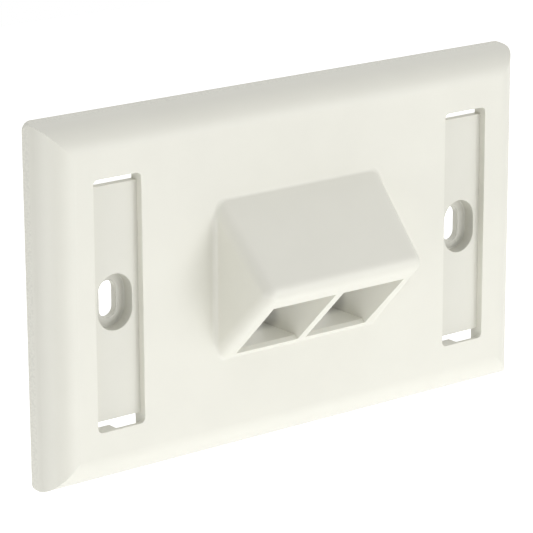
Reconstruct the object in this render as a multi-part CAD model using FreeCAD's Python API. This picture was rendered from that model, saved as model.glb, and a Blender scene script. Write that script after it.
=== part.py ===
import FreeCAD, Part
import math
import os

# Two-port keystone faceplate, one injection moulding, sizes in millimetres.
# Frame: +Z up, X along the long side, the front looks towards -Y, and the
# face that lies on the wall is the plane y = 0 with the plate centred on it.

# Plate
PLATE_W = 114.3          # long side, single-gang plate
PLATE_H = 69.85          # short side
PLATE_T = 7.05           # wall plane to flat front
CORNER_R = 1.8           # outer corners, seen from the front
FOOT_H = 2.05            # height of the straight foot strip at the wall
FOOT_IN = 0.6            # how far the foot strip leans in over its height
BEVEL_W = 6.25           # outer edge to the start of the flat front
SKIN = 1.9               # wall thickness of the shell

# Screw slots, one through the middle of each label bay
SCREW_PITCH = 83.34      # 3.281 in between box screws
SLOT_W = 3.65            # through slot, clears a no. 6 screw
SLOT_L = 7.1
SLOT_EASE = 0.1          # chamfer round the mouth of the slot
BORE_W = 7.7             # counterbore for the screw head, at its mouth
BORE_L = 10.7
BORE_DEPTH = 2.5         # label floor to the seat
BORE_DRAFT = 0.1         # inward lean of the counterbore wall, each side
SEAT_T = 1.4             # web left under the screw head
SEAT_R = 0.25            # fillet between the counterbore wall and the seat
BOSS_WALL = 1.5          # wall round the counterbore

# Label bays
BAY_W = 10.45
BAY_H = 47.7
BAY_R = 1.0              # corner radius of the opening
BAY_EASE = 0.1           # rounding of the opening's rim
FLOOR_D = 1.5            # flat front down to the label floor
FLOOR_T = 1.65           # thickness of the label floor
SLIT_H = 1.65            # the floor stops this far short of both ends
FRAME_T = 1.5            # frame round the bay on the back
LATCH_LIP = 0.85         # thickness of the lip the label cover snaps under
LATCH_X = -0.75          # the lip is undercut from here to the bay's side
LATCH_D = 1.1            # how far the undercut reaches under the lip

# Hood: a 45 degree wedge with the ports in its lower face
HOOD_W = 39.8            # width where it leaves the front
HOOD_DRAFT = 4.5         # lean of its two sides, degrees
HOOD_TOP = 15.6          # height of its upper root above the centre
HOOD_BOTTOM = 15.2       # its lower root below the centre
HOOD_R = 2.4             # rounding of the ridge and of the side edges
ROOT_R = 1.0             # fillet where it meets the front
HOOD_WALL = 2.2          # upper wall
CHEEK_GAP = 0.9          # coring slot inside each cheek
CHEEK_WALL = 1.2         # wall between a port and the coring slot

# Keystone ports
PORT_W = 14.78
PORT_H = 16.33
PORT_PITCH = 16.65
PORT_UP = 0.85           # lower root of the hood to a port's lower edge
LIP_T = 1.0              # lower lip, held by the jack's fixed hook
BROW_T = 1.6             # upper lip
PORT_EASE = 0.1          # rounding of the rims of the ports
CATCH_RISE = 1.87        # relief above the port for the sprung latch
CATCH_IN = 8.0           # port face to the latch bar
CATCH_T = 1.8            # thickness of the latch bar
CATCH_DROP = 0.57        # the bar's lower side above the port's upper edge
TUNNEL_BACK = 3.6        # how far the port walls reach behind the wall plane
TUNNEL_FLOOR = 1.4       # thickness of the shelf under the ports
TUNNEL_SLOPE = 12.0      # depth of the port walls, square to the port face

FRONT = -PLATE_T
BAY_X = SCREW_PITCH / 2
PORT_EDGE = PORT_PITCH / 2 + PORT_W / 2
SQ = math.sqrt(0.5)


def box(x0, x1, y0, y1, z0, z1):
    return Part.makeBox(x1 - x0, y1 - y0, z1 - z0, FreeCAD.Vector(x0, y0, z0))


def face_of(edges):
    return Part.Face(Part.Wire(Part.__sortEdges__(edges)))


def edge_lies_at(edge, y):
    """True for an edge that lies in the plane at height y."""
    span = edge.BoundBox
    return abs(span.YMin - y) < 1e-4 and abs(span.YMax - y) < 1e-4


def slab_yz(points, x0, x1):
    """A polygon of (y, z) points, swept from x0 to x1."""
    ring = [FreeCAD.Vector(x0, y, z) for y, z in points]
    face = Part.Face(Part.makePolygon(ring + ring[:1]))
    return face.extrude(FreeCAD.Vector(x1 - x0, 0, 0))


def rounded_rect(w, h, r, y0, y1, cx=0.0):
    """A prism along Y with a rounded rectangle for its section."""
    block = box(cx - w / 2, cx + w / 2, y0, y1, -h / 2, h / 2)
    upright = [
        e for e in block.Edges
        if abs(e.Vertexes[0].Point.y - e.Vertexes[1].Point.y) > 1e-6
    ]
    return block.makeFillet(r, upright)


def obround_wire(w, length, y, cx):
    """Outline of a slot that stands upright at height y."""
    r, h = w / 2, (length - w) / 2
    up, down = FreeCAD.Vector(cx, y, h), FreeCAD.Vector(cx, y, -h)
    side = FreeCAD.Vector(r, 0, 0)
    top = FreeCAD.Vector(0, 0, r)
    return Part.Wire([
        Part.Arc(up + side, up + top, up - side).toShape(),
        Part.makeLine(up - side, down - side),
        Part.Arc(down - side, down - top, down + side).toShape(),
        Part.makeLine(down + side, up + side),
    ])


def obround(w, length, y0, y1, cx):
    face = Part.Face(obround_wire(w, length, y0, cx))
    return face.extrude(FreeCAD.Vector(0, y1 - y0, 0))


def obround_taper(w0, l0, y0, w1, l1, y1, cx):
    return Part.makeLoft(
        [obround_wire(w0, l0, y0, cx), obround_wire(w1, l1, y1, cx)],
        True, True)


def crown_profile(half, inset, back):
    """Half-outline of the plate's section, from the edge to the flat front.

    inset 0 gives the outside. A positive inset gives the parallel curve
    inside the wall, and back is where the section starts behind the plate.
    """
    rise, run = PLATE_T - FOOT_H, BEVEL_W - FOOT_IN
    radius = (run * run + rise * rise) / (2 * rise)
    cx, cy = half - BEVEL_W, FRONT + radius
    if inset == 0:
        start = math.atan2(-FOOT_H - cy, half - FOOT_IN - cx)
        foot = [(half, back), (half - FOOT_IN, -FOOT_H)]
    else:
        start = 0.0
        foot = [(cx + radius - inset, back), (cx + radius - inset, cy)]
    r = radius - inset
    mid = (start - math.pi / 2) / 2
    return (
        foot,
        (cx + r * math.cos(mid), cy + r * math.sin(mid)),
        (cx, cy - r),
    )


def crown(inset, back):
    """The plate's outside, or its hollow, with mitred corners."""
    solids = []
    for half, other, along_x in (
            (PLATE_W / 2, PLATE_H, False), (PLATE_H / 2, PLATE_W, True)):
        foot, mid, flat = crown_profile(half, inset, back)

        def at(s, y, side):
            if along_x:
                return FreeCAD.Vector(-other, y, side * s)
            return FreeCAD.Vector(side * s, y, -other)

        edges = []
        for side in (-1, 1):
            a, b = (at(s, y, side) for s, y in foot)
            edges.append(Part.makeLine(a, b))
            edges.append(
                Part.Arc(b, at(*mid, side), at(*flat, side)).toShape())
        edges.append(Part.makeLine(at(*flat, -1), at(*flat, 1)))
        edges.append(Part.makeLine(at(*foot[0], -1), at(*foot[0], 1)))
        sweep = FreeCAD.Vector(0, 0, 2 * other)
        if along_x:
            sweep = FreeCAD.Vector(2 * other, 0, 0)
        solids.append(face_of(edges).extrude(sweep))
    return solids[0].common(solids[1])


def hood_block():
    """The wedge before it is hollowed, carried a little into the plate."""
    sink = SKIN / 2
    apex = (HOOD_TOP + HOOD_BOTTOM) / 2
    ridge_z = (HOOD_TOP - HOOD_BOTTOM) / 2
    wedge = slab_yz([
        (FRONT + sink, HOOD_TOP + sink),
        (FRONT - apex, ridge_z),
        (FRONT + sink, -HOOD_BOTTOM - sink),
    ], -HOOD_W, HOOD_W)
    lean = math.tan(math.radians(HOOD_DRAFT))
    near, far = sink, -apex - 1
    half = HOOD_W / 2
    plan = [
        FreeCAD.Vector(side * (half + lean * d), FRONT + d, -PLATE_H)
        for side, d in ((-1, near), (1, near), (1, far), (-1, far))
    ]
    sides = Part.Face(Part.makePolygon(plan + plan[:1]))
    wedge = wedge.common(sides.extrude(FreeCAD.Vector(0, 0, 2 * PLATE_H)))
    # every edge in front of the plate: the ridge and the four side edges
    rounded = [
        e for e in wedge.Edges
        if min(v.Point.y for v in e.Vertexes) < FRONT - 1
    ]
    return wedge.makeFillet(HOOD_R, rounded)


def round_root(body):
    """Fillet the line where the hood leaves the flat front."""
    reach_x, reach_z = HOOD_W / 2 + 1, max(HOOD_TOP, HOOD_BOTTOM) + 1
    root = [
        e for e in body.Edges
        if edge_lies_at(e, FRONT)
        and max(abs(e.BoundBox.XMin), abs(e.BoundBox.XMax)) < reach_x
        and max(abs(e.BoundBox.ZMin), abs(e.BoundBox.ZMax)) < reach_z
    ]
    return body.makeFillet(ROOT_R, root)


def port_point(inward, up):
    """(y, z) of a point given square to the port face and along it."""
    y0 = FRONT - SQ * PORT_UP
    z0 = -HOOD_BOTTOM + SQ * PORT_UP
    return y0 + SQ * (inward - up), z0 + SQ * (inward + up)


def ease_ports(body):
    """Round the rims of the two ports, in the lower face of the hood."""
    rims = []
    for e in body.Edges:
        ends = [v.Point for v in e.Vertexes]
        inward = [SQ * (p.y - FRONT + p.z + HOOD_BOTTOM) for p in ends]
        up = [SQ * (p.z + HOOD_BOTTOM - p.y + FRONT) for p in ends]
        on_face = max(abs(d) for d in inward) < 1e-4
        near = PORT_UP - 0.01 < min(up) and max(up) < PORT_UP + PORT_H + 0.01
        if on_face and near and max(abs(p.x) for p in ends) < PORT_EDGE + 0.01:
            rims.append(e)
    return body.makeFillet(PORT_EASE, rims)


def port_void(cx):
    """The space a jack fills, from the port face out through the back."""
    roof = PORT_H + CATCH_RISE
    bar_in, bar_out = CATCH_IN, CATCH_IN + CATCH_T
    lip = port_point(LIP_T, 0)
    back = TUNNEL_BACK + 1
    roof_back = port_point(bar_out, roof)
    run = FRONT + SKIN + 1 - roof_back[0]
    return slab_yz([
        port_point(-HOOD_R, 0),
        lip,
        (back, lip[1]),
        (back, roof_back[1] + run),
        (roof_back[0] + run, roof_back[1] + run),
        roof_back,
        port_point(bar_out, PORT_H + CATCH_DROP),
        port_point(bar_in, PORT_H + CATCH_DROP),
        port_point(bar_in, roof),
        port_point(BROW_T, roof),
        port_point(BROW_T, PORT_H),
        port_point(-HOOD_R, PORT_H),
    ], cx - PORT_W / 2, cx + PORT_W / 2)


def tunnel_block():
    """Shelf and side walls behind the ports, before the ports are cut."""
    half = PORT_EDGE + CHEEK_WALL
    shelf = port_point(LIP_T, 0)[1] - TUNNEL_FLOOR
    slope = sum(port_point(TUNNEL_SLOPE, 0))
    start = FRONT + SKIN / 2
    return slab_yz([
        (start, shelf),
        (TUNNEL_BACK, shelf),
        (TUNNEL_BACK, slope - TUNNEL_BACK),
        (start, slope - start),
    ], -half, half)


def cheek_slot(side):
    """Coring slot that keeps a cheek of the hood from being too thick."""
    x0 = PORT_EDGE + CHEEK_WALL
    x1 = x0 + CHEEK_GAP
    upper = HOOD_TOP - HOOD_WALL / SQ
    lower = HOOD_BOTTOM - HOOD_WALL / SQ
    back = SKIN + 0.5
    return slab_yz([
        (FRONT + back, upper + back),
        (FRONT - (upper + lower) / 2, (upper - lower) / 2),
        (FRONT + back, -lower - back),
    ], min(side * x0, side * x1), max(side * x0, side * x1))


def seat_back():
    """Height of the back of the web that carries the screw head."""
    return FRONT + FLOOR_D + BORE_DEPTH + SEAT_T


def bay_frame(cx):
    """Frame and screw boss on the back of a label bay."""
    floor_back = FRONT + FLOOR_D + FLOOR_T
    frame = rounded_rect(
        BAY_W + 2 * FRAME_T, BAY_H + 2 * (LATCH_D + FRAME_T), BAY_R + FRAME_T,
        FRONT + SKIN / 2, floor_back, cx)
    boss = obround(BORE_W + 2 * BOSS_WALL, BORE_L + 2 * BOSS_WALL,
                   FRONT + SKIN / 2, seat_back(), cx)
    return frame.fuse(boss)


def bay_void(cx):
    """Label recess, the slits at its ends and the latch undercuts."""
    floor = FRONT + FLOOR_D
    through = floor + FLOOR_T + 1
    end_z = BAY_H / 2 - SLIT_H
    recess = rounded_rect(BAY_W, BAY_H, BAY_R, FRONT - 1, floor, cx)
    well = rounded_rect(BAY_W, BAY_H, BAY_R, FRONT - 1, through, cx)
    keep = box(cx - BAY_W, cx + BAY_W, FRONT - 2, through + 1, -end_z, end_z)
    tools = [recess, well.cut(keep)]
    for end in (-1, 1):
        z0, z1 = sorted((end * end_z, end * (BAY_H / 2 + LATCH_D)))
        tools.append(box(cx + LATCH_X, cx + BAY_W / 2,
                         FRONT + LATCH_LIP, through, z0, z1))
    return tools


def screw_void(cx):
    """Counterbore with a flat seat, and the slot the screw passes."""
    floor = FRONT + FLOOR_D
    seat = floor + BORE_DEPTH
    eased = seat + SLOT_EASE
    bore = obround_taper(
        BORE_W, BORE_L, floor,
        BORE_W - 2 * BORE_DRAFT, BORE_L - 2 * BORE_DRAFT, seat, cx)
    ring = [e for e in bore.Edges if edge_lies_at(e, seat)]
    bore = bore.makeFillet(SEAT_R, ring)
    mouth = obround_taper(
        SLOT_W + 2 * SLOT_EASE, SLOT_L + 2 * SLOT_EASE, seat,
        SLOT_W, SLOT_L, eased, cx)
    slot = obround(SLOT_W, SLOT_L, eased, seat_back() + 1, cx)
    return bore.fuse(mouth).fuse(slot)


def ease_bays(body):
    """Round the rims of the label bays and of the screw counterbores."""
    rims = []
    for e in body.Edges:
        span = e.BoundBox
        off = max(abs(abs(span.XMin) - BAY_X), abs(abs(span.XMax) - BAY_X))
        high = max(abs(span.ZMin), abs(span.ZMax))
        in_bay = off < BAY_W / 2 + 0.01 and high < BAY_H / 2 + 0.01
        in_bore = off < BORE_W / 2 + 0.01 and high < BORE_L / 2 + 0.01
        if edge_lies_at(e, FRONT) and in_bay:
            rims.append(e)
        elif edge_lies_at(e, FRONT + FLOOR_D) and in_bore:
            rims.append(e)
    return body.makeFillet(BAY_EASE, rims)


def faceplate():
    outer = crown(0, 0).common(
        rounded_rect(PLATE_W, PLATE_H, CORNER_R, FRONT - 1, 0))
    body = outer.fuse(hood_block()).removeSplitter()
    body = round_root(body)
    body = body.cut(crown(SKIN, 1))
    additions = [tunnel_block()]
    additions += [bay_frame(side * BAY_X) for side in (-1, 1)]
    for extra in additions:
        body = body.fuse(extra)
    cuts = []
    for side in (-1, 1):
        cuts += bay_void(side * BAY_X)
        cuts.append(screw_void(side * BAY_X))
        cuts.append(port_void(side * PORT_PITCH / 2))
        cuts.append(cheek_slot(side))
    for tool in cuts:
        body = body.cut(tool)
    body = ease_ports(ease_bays(body.removeSplitter()))
    return body.Solids[0] if len(body.Solids) == 1 else body


shape = faceplate()
os.makedirs("parts", exist_ok=True)
shape.exportStep("parts/faceplate.step")
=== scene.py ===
# %% [markdown]
# # A two-port keystone faceplate, dressed
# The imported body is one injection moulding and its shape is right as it
# stands. This script gives it the finish of satin ABS, a white studio, soft
# light and a camera. Everything is in metres. The front looks towards -Y,
# +Z is up, and y = 0 is the face that lies on the wall.

import math

import bpy
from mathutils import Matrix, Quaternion, Vector


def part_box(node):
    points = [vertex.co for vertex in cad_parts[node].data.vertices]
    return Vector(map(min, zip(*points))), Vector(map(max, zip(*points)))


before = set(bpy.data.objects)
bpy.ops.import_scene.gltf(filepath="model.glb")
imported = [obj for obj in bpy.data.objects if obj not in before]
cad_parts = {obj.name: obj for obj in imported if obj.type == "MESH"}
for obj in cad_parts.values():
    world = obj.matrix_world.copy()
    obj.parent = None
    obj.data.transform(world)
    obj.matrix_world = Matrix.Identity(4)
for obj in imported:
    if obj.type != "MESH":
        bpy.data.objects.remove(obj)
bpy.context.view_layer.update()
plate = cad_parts["faceplate"]

# %% [markdown]
# ## Sizes the finish depends on
# The finish changes from place to place, so a few of the moulding's sizes
# are named here, in millimetres, as the pattern scales are.

# %%
MM = 0.001
SIN45 = math.sqrt(0.5)
FRONT = -7.05           # the flat front
PEBBLE_TO = 1.5         # the pebbled grain ends this far above the wall
FOOT_IN = 0.6           # how far the foot strip leans in
BAY_X = 41.67           # centre of a label bay
BAY_W = 10.45           # its width
BAY_H = 47.7            # and its height
BORE_W = 7.7            # counterbore of a screw slot
BORE_L = 10.7           # its length, upright
FLOOR_D = 1.5           # flat front down to a label floor
SEAT_D = 4.0            # flat front down to a screw seat
PORT_FACE = 15.73       # distance of the sloping port face from the origin
TUNNELS_W = 31.6        # both port tunnels together, inside

low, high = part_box("faceplate")
HALF_W = high.x / MM
HALF_H = high.z / MM

# %% [markdown]
# ## Two helpers
# Colours are written as sRGB hex, the way a colour card gives them, and
# pass through one function that makes them linear. One more function adds
# a node, sets its values and joins it to the nodes before it.

# %%
def linear(code):
    """Linear RGBA of an sRGB colour written as six hex digits."""
    parts = [int(code[i:i + 2], 16) / 255 for i in (0, 2, 4)]
    return [c / 12.92 if c <= 0.04045 else ((c + 0.055) / 1.055) ** 2.4
            for c in parts] + [1.0]


def add(tree, kind, *inputs, out=0, **settings):
    """Add a node. A socket among the inputs is linked, a value is set."""
    node = tree.nodes.new("ShaderNode" + kind)
    for name, value in settings.items():
        setattr(node, name, value)
    for i, value in enumerate(inputs):
        if isinstance(value, bpy.types.NodeSocket):
            tree.links.new(value, node.inputs[i])
        elif value is not None:
            node.inputs[i].default_value = value
    return node.outputs[out] if len(node.outputs) else None


def math_node(tree, operation, *inputs):
    return add(tree, "Math", *inputs, operation=operation)


def ramp(tree, value, x0, x1, y0, y1):
    """A smooth step from y0 at x0 to y1 at x1."""
    return add(tree, "MapRange", value, x0, x1, y0, y1,
               interpolation_type="SMOOTHSTEP")


def new_material(name):
    material = bpy.data.materials.new(name)
    material.use_nodes = True
    material.node_tree.nodes.clear()
    return material, material.node_tree

# %% [markdown]
# ## Moulded ABS
# The shade is a warm off-white. The mould was spark-eroded to a fine satin,
# so the surface has a grain of about a fifth of a millimetre that is felt
# more than seen. Two places differ: the foot strip along the outer edge has
# a coarser, pebbled grain with a painted highlight on its tops and painted
# shade in its hollows, and the recesses have painted shade: the label
# floors a little, the counterbores and the deep corners of the port tunnels
# more.

# %%
ABS_WHITE = "E4E3D9"
SATIN = 0.42            # roughness of the satin faces
SATIN_SPREAD = 0.03     # and how far the grain moves it
ABS_IOR = 1.54
GRAIN = 0.2             # satin grain, mm from bump to bump
GRAIN_H = 0.004         # and its height, mm
PEBBLE = 0.4            # grain of the foot strip, mm
PEBBLE_H = 0.025
PEBBLE_PAINTED_SHADING = (-0.03, 0.05)     # painted darkening: below zero a painted highlight on its tops, above zero painted shade in its hollows
MOTTLE = 9.0            # slow drift of the shade, mm
DRIFT = (0.99, 1.005)   # and its range
PAINTED_FLOOR_SHADE = 0.915      # painted shade on the label floors, as a factor on the front's colour
PAINTED_BORE_SHADE = 0.8         # painted shade in the counterbores
PAINTED_TUNNEL_SHADE = 0.58      # painted shade in the deep lower corners of the port tunnels
TUNNEL_IN = (4.0, 8.0)      # reached this far behind the port face, mm
TUNNEL_LOW = (-4.5, -9.0)   # and this far below the origin, along it


def moulded_abs():
    """Satin ABS with a pebbled foot strip, painted highlight and shade on its
    pebbles, and painted shade in the recesses.
    """
    material, tree = new_material("moulded ABS, satin off-white")
    coords = add(tree, "TexCoord", out=3)
    mm = add(tree, "VectorMath", coords, operation="SCALE")
    mm.node.inputs["Scale"].default_value = 1 / MM
    axes = add(tree, "SeparateXYZ", mm).node.outputs
    x, y, z = (axes[i] for i in range(3))
    facing = add(tree, "SeparateXYZ", add(tree, "NewGeometry", out=1), out=1)

    # how far a point lies inside the outer edge, and inside the bays
    beside = math_node(tree, "ABSOLUTE", x)
    above = math_node(tree, "ABSOLUTE", z)
    edge = math_node(
        tree, "MAXIMUM",
        math_node(tree, "SUBTRACT", beside, HALF_W - FOOT_IN),
        math_node(tree, "SUBTRACT", above, HALF_H - FOOT_IN))
    off_bay = math_node(
        tree, "MAXIMUM",
        math_node(tree, "SUBTRACT", math_node(
            tree, "ABSOLUTE", math_node(tree, "SUBTRACT", beside, BAY_X)),
            BAY_W / 2),
        math_node(tree, "SUBTRACT", above, BAY_H / 2))
    depth = math_node(tree, "SUBTRACT", y, FRONT)

    # foot strip: outside the edge line and low on the plate
    strip = math_node(
        tree, "MULTIPLY",
        ramp(tree, edge, -0.2, 0.0, 0, 1),
        ramp(tree, y, -PEBBLE_TO - 0.1, -PEBBLE_TO + 0.1, 0, 1))

    # label floors, which get painted shade: inside a bay, below the front and
    # turned to the front
    on_floor = math_node(
        tree, "MULTIPLY",
        math_node(tree, "MULTIPLY",
                  ramp(tree, off_bay, 0.02, 0.06, 1, 0),
                  ramp(tree, facing, -0.9, -0.5, 1, 0)),
        math_node(tree, "MULTIPLY",
                  ramp(tree, depth, FLOOR_D - 0.2, FLOOR_D, 0, 1),
                  ramp(tree, depth, FLOOR_D, FLOOR_D + 0.1, 1, 0)))

    # counterbores, which get painted shade: down to the seat, inside an
    # upright slot shape
    rise = math_node(
        tree, "MAXIMUM",
        math_node(tree, "SUBTRACT", above, (BORE_L - BORE_W) / 2), 0.0)
    off_middle = math_node(
        tree, "SUBTRACT",
        math_node(tree, "SQRT", math_node(
            tree, "ADD",
            math_node(tree, "MULTIPLY", rise, rise),
            math_node(tree, "POWER", math_node(
                tree, "ABSOLUTE",
                math_node(tree, "SUBTRACT", beside, BAY_X)), 2.0))),
        BORE_W / 2)
    in_bore = math_node(
        tree, "MULTIPLY",
        ramp(tree, off_middle, 0.0, 0.1, 1, 0),
        math_node(tree, "MULTIPLY",
                  ramp(tree, depth, FLOOR_D, FLOOR_D + 0.3, 0, 1),
                  ramp(tree, depth, SEAT_D + 0.05, SEAT_D + 0.15, 1, 0)))

    # the deep lower corners of the port tunnels, on their inner faces, which
    # get painted shade
    into = math_node(
        tree, "ADD", PORT_FACE,
        math_node(tree, "MULTIPLY", math_node(tree, "ADD", y, z), SIN45))
    across = math_node(
        tree, "MULTIPLY", math_node(tree, "SUBTRACT", z, y), SIN45)
    inner = math_node(
        tree, "MULTIPLY",
        ramp(tree, facing, 0.3, 0.6, 1, 0),
        ramp(tree, facing.node.outputs[2], -0.5, -0.2, 0, 1))
    tunnel = math_node(
        tree, "MULTIPLY",
        math_node(tree, "MULTIPLY", inner,
                  ramp(tree, beside, TUNNELS_W / 2, TUNNELS_W / 2 + 0.2,
                       1, 0)),
        math_node(tree, "MULTIPLY",
                  ramp(tree, into, *TUNNEL_IN, 0, 1),
                  ramp(tree, across, *TUNNEL_LOW, 0, 1)))
    # painted shade in the recesses: label floors, counterbores and deep tunnel
    # corners made darker
    painted_recess_shade = math_node(
        tree, "MULTIPLY",
        ramp(tree, tunnel, 0.0, 1.0, 1, PAINTED_TUNNEL_SHADE),
        math_node(tree, "MULTIPLY",
                  ramp(tree, on_floor, 0.0, 1.0, 1, PAINTED_FLOOR_SHADE),
                  ramp(tree, in_bore, 0.0, 1.0, 1, PAINTED_BORE_SHADE)))

    drift = add(tree, "TexNoise", mm, None, 1 / MOTTLE, 2.0)
    drift_tone = ramp(tree, drift, 0.3, 0.7, *DRIFT)
    pebbles = add(tree, "TexVoronoi", mm, None, 1 / PEBBLE,
                  feature="SMOOTH_F1")
    # painted highlight on the pebbles' tops and painted shade in their hollows
    pebble_painted_shading = math_node(
        tree, "SUBTRACT", 1.0,
        math_node(tree, "MULTIPLY", strip,
                  ramp(tree, pebbles, 0.2, 0.7, *PEBBLE_PAINTED_SHADING)))
    # the colour's tone: painted highlight and shade on the pebbles, the slow
    # drift, and painted shade in the recesses
    tone = math_node(
        tree, "MULTIPLY", pebble_painted_shading,
        math_node(tree, "MULTIPLY", drift_tone, painted_recess_shade))
    colour = add(tree, "VectorMath", linear(ABS_WHITE)[:3],
                 operation="SCALE")
    tree.links.new(tone, colour.node.inputs["Scale"])

    fine = add(tree, "TexNoise", mm, None, 1 / GRAIN, 2.0)
    satin = add(tree, "Bump", 1.0, GRAIN_H * MM)
    tree.links.new(fine, satin.node.inputs["Height"])
    coarse = add(tree, "Bump", strip, PEBBLE_H * MM)
    coarse.node.invert = True
    tree.links.new(pebbles, coarse.node.inputs["Height"])
    tree.links.new(satin, coarse.node.inputs["Normal"])

    rough = ramp(tree, fine, 0.3, 0.7,
                 SATIN - SATIN_SPREAD, SATIN + SATIN_SPREAD)
    surface = add(tree, "BsdfPrincipled")
    for name, value in (("Base Color", colour), ("Roughness", rough),
                        ("Normal", coarse)):
        tree.links.new(value, surface.node.inputs[name])
    surface.node.inputs["IOR"].default_value = ABS_IOR
    add(tree, "OutputMaterial", surface)
    return material


plate.material_slots[0].material = moulded_abs()

# %% [markdown]
# ## The white studio
# The floor lies well below the plate, which in use hangs on a wall. It is
# a pale diffuse sheet. To the camera and in reflections, floor and
# surroundings are white, while what they send to the plate stays soft.

# %%
FLOOR_Z = -0.30
FLOOR_SIZE = 3.0
FLOOR_GREY = "E4E4E2"
PAPER_ROUGH = 0.5
PAPER_GLOW = 0.7        # what the paper adds where it shows directly
# how bright the surroundings are towards +X, +Y, +Z and -X, -Y, -Z
SKY_PLUS = (0.25, 0.55, 1.13)
SKY_MINUS = (0.0, 0.28, 0.0)


def seen_directly(tree):
    """1 for rays that show the background, 0 for rays that light things."""
    path = add(tree, "LightPath").node.outputs
    shown = math_node(tree, "MAXIMUM", path["Is Camera Ray"],
                      path["Is Glossy Ray"])
    return math_node(tree, "MAXIMUM", shown, path["Is Transmission Ray"])


def floor_sheet():
    """The paper under the plate."""
    bpy.ops.mesh.primitive_grid_add(
        x_subdivisions=4, y_subdivisions=4, size=FLOOR_SIZE,
        location=(0, 0, FLOOR_Z))
    floor = bpy.context.object
    floor.name = "studio_floor"
    material, tree = new_material("matt white paper")
    paper = add(tree, "BsdfDiffuse", linear(FLOOR_GREY), PAPER_ROUGH)
    white = add(tree, "Emission", (1, 1, 1, 1),
                math_node(tree, "MULTIPLY", seen_directly(tree),
                          PAPER_GLOW))
    both = add(tree, "AddShader", paper, white)
    add(tree, "OutputMaterial", both)
    floor.data.materials.append(material)


def surroundings():
    """A world that is brightest from above and dark on the left."""
    world = bpy.data.worlds.new("studio")
    bpy.context.scene.world = world
    world.use_nodes = True
    tree = world.node_tree
    tree.nodes.clear()
    direction = add(tree, "TexCoord", out=0)
    halves = []
    for sign, weights in ((1, SKY_PLUS), (-1, SKY_MINUS)):
        turned = add(tree, "VectorMath", direction, operation="SCALE")
        turned.node.inputs["Scale"].default_value = sign
        half = add(tree, "VectorMath", turned, (0, 0, 0),
                   operation="MAXIMUM")
        square = add(tree, "VectorMath", half, half, operation="MULTIPLY")
        halves.append(add(tree, "VectorMath", square, weights, out=1,
                          operation="DOT_PRODUCT"))
    light = math_node(tree, "ADD", *halves)
    strength = add(tree, "Mix", seen_directly(tree), data_type="FLOAT")
    tree.links.new(light, strength.node.inputs[2])
    strength.node.inputs[3].default_value = 1.0
    sky = add(tree, "Background", (1, 1, 1, 1), strength)
    add(tree, "OutputWorld", sky)


floor_sheet()
surroundings()

# %% [markdown]
# ## Soft lamps
# Seven round softboxes, placed by the direction they shine from: azimuth 0
# is straight in front, positive to the right. The main light comes from the
# right of the front. Two lamps on the left reach into the ports and keep
# that edge from going dull, two low ones lift what faces down, and one
# behind the plate lights its hollow back.

# %%
def towards(azimuth, elevation):
    """Unit vector from the plate to a lamp or camera."""
    a, e = math.radians(azimuth), math.radians(elevation)
    return Vector((math.sin(a) * math.cos(e),
                   -math.cos(a) * math.cos(e), math.sin(e)))


def softbox(name, azimuth, elevation, distance, size, watts):
    """A round lamp that shines at the plate, unseen by the camera."""
    lamp = bpy.data.lights.new(name, "AREA")
    lamp.shape = "DISK"
    lamp.size = size
    lamp.energy = watts
    holder = bpy.data.objects.new(name, lamp)
    bpy.context.scene.collection.objects.link(holder)
    way = towards(azimuth, elevation)
    holder.location = way * distance
    holder.rotation_mode = "QUATERNION"
    holder.rotation_quaternion = way.to_track_quat("Z", "Y")
    holder.visible_camera = False


softbox("main_right", 45, 10, 0.9, 0.5, 1.05)
softbox("right_front", 25, 0, 0.9, 0.5, 1.8)
softbox("front_low", 0, -30, 0.5, 0.3, 0.53)
softbox("left_side", -70, -5, 0.9, 0.5, 1.43)
softbox("left_low", -95, -30, 0.6, 0.5, 1.25)
softbox("underside", 30, -60, 0.28, 0.25, 0.15)
softbox("behind", 180, -15, 0.9, 0.3, 1.3)

# %% [markdown]
# ## Camera
# A long lens from the left and a little above, far enough away that the
# plate's short sides stay nearly parallel.

# %%
VIEW_AZIMUTH = -37.77
VIEW_ELEVATION = 16.2
VIEW_ROLL = -0.24
LOOK_AT = Vector((-7.98, -7.05, 0.97)) * MM
DISTANCE = 0.5258
LENS = 188.6            # on a 36 mm sensor


def place_camera():
    """A camera that looks at LOOK_AT from DISTANCE away."""
    lens = bpy.data.cameras.new("camera")
    lens.lens = LENS
    lens.sensor_width = 36.0
    lens.clip_start = 0.01
    camera = bpy.data.objects.new("camera", lens)
    bpy.context.scene.collection.objects.link(camera)
    way = towards(VIEW_AZIMUTH, VIEW_ELEVATION)
    camera.location = LOOK_AT + way * DISTANCE
    camera.rotation_mode = "QUATERNION"
    roll = Quaternion((0, 0, 1), math.radians(VIEW_ROLL))
    camera.rotation_quaternion = (-way).to_track_quat("-Z", "Y") @ roll
    bpy.context.scene.camera = camera


place_camera()
bpy.context.scene.view_settings.view_transform = "Standard"
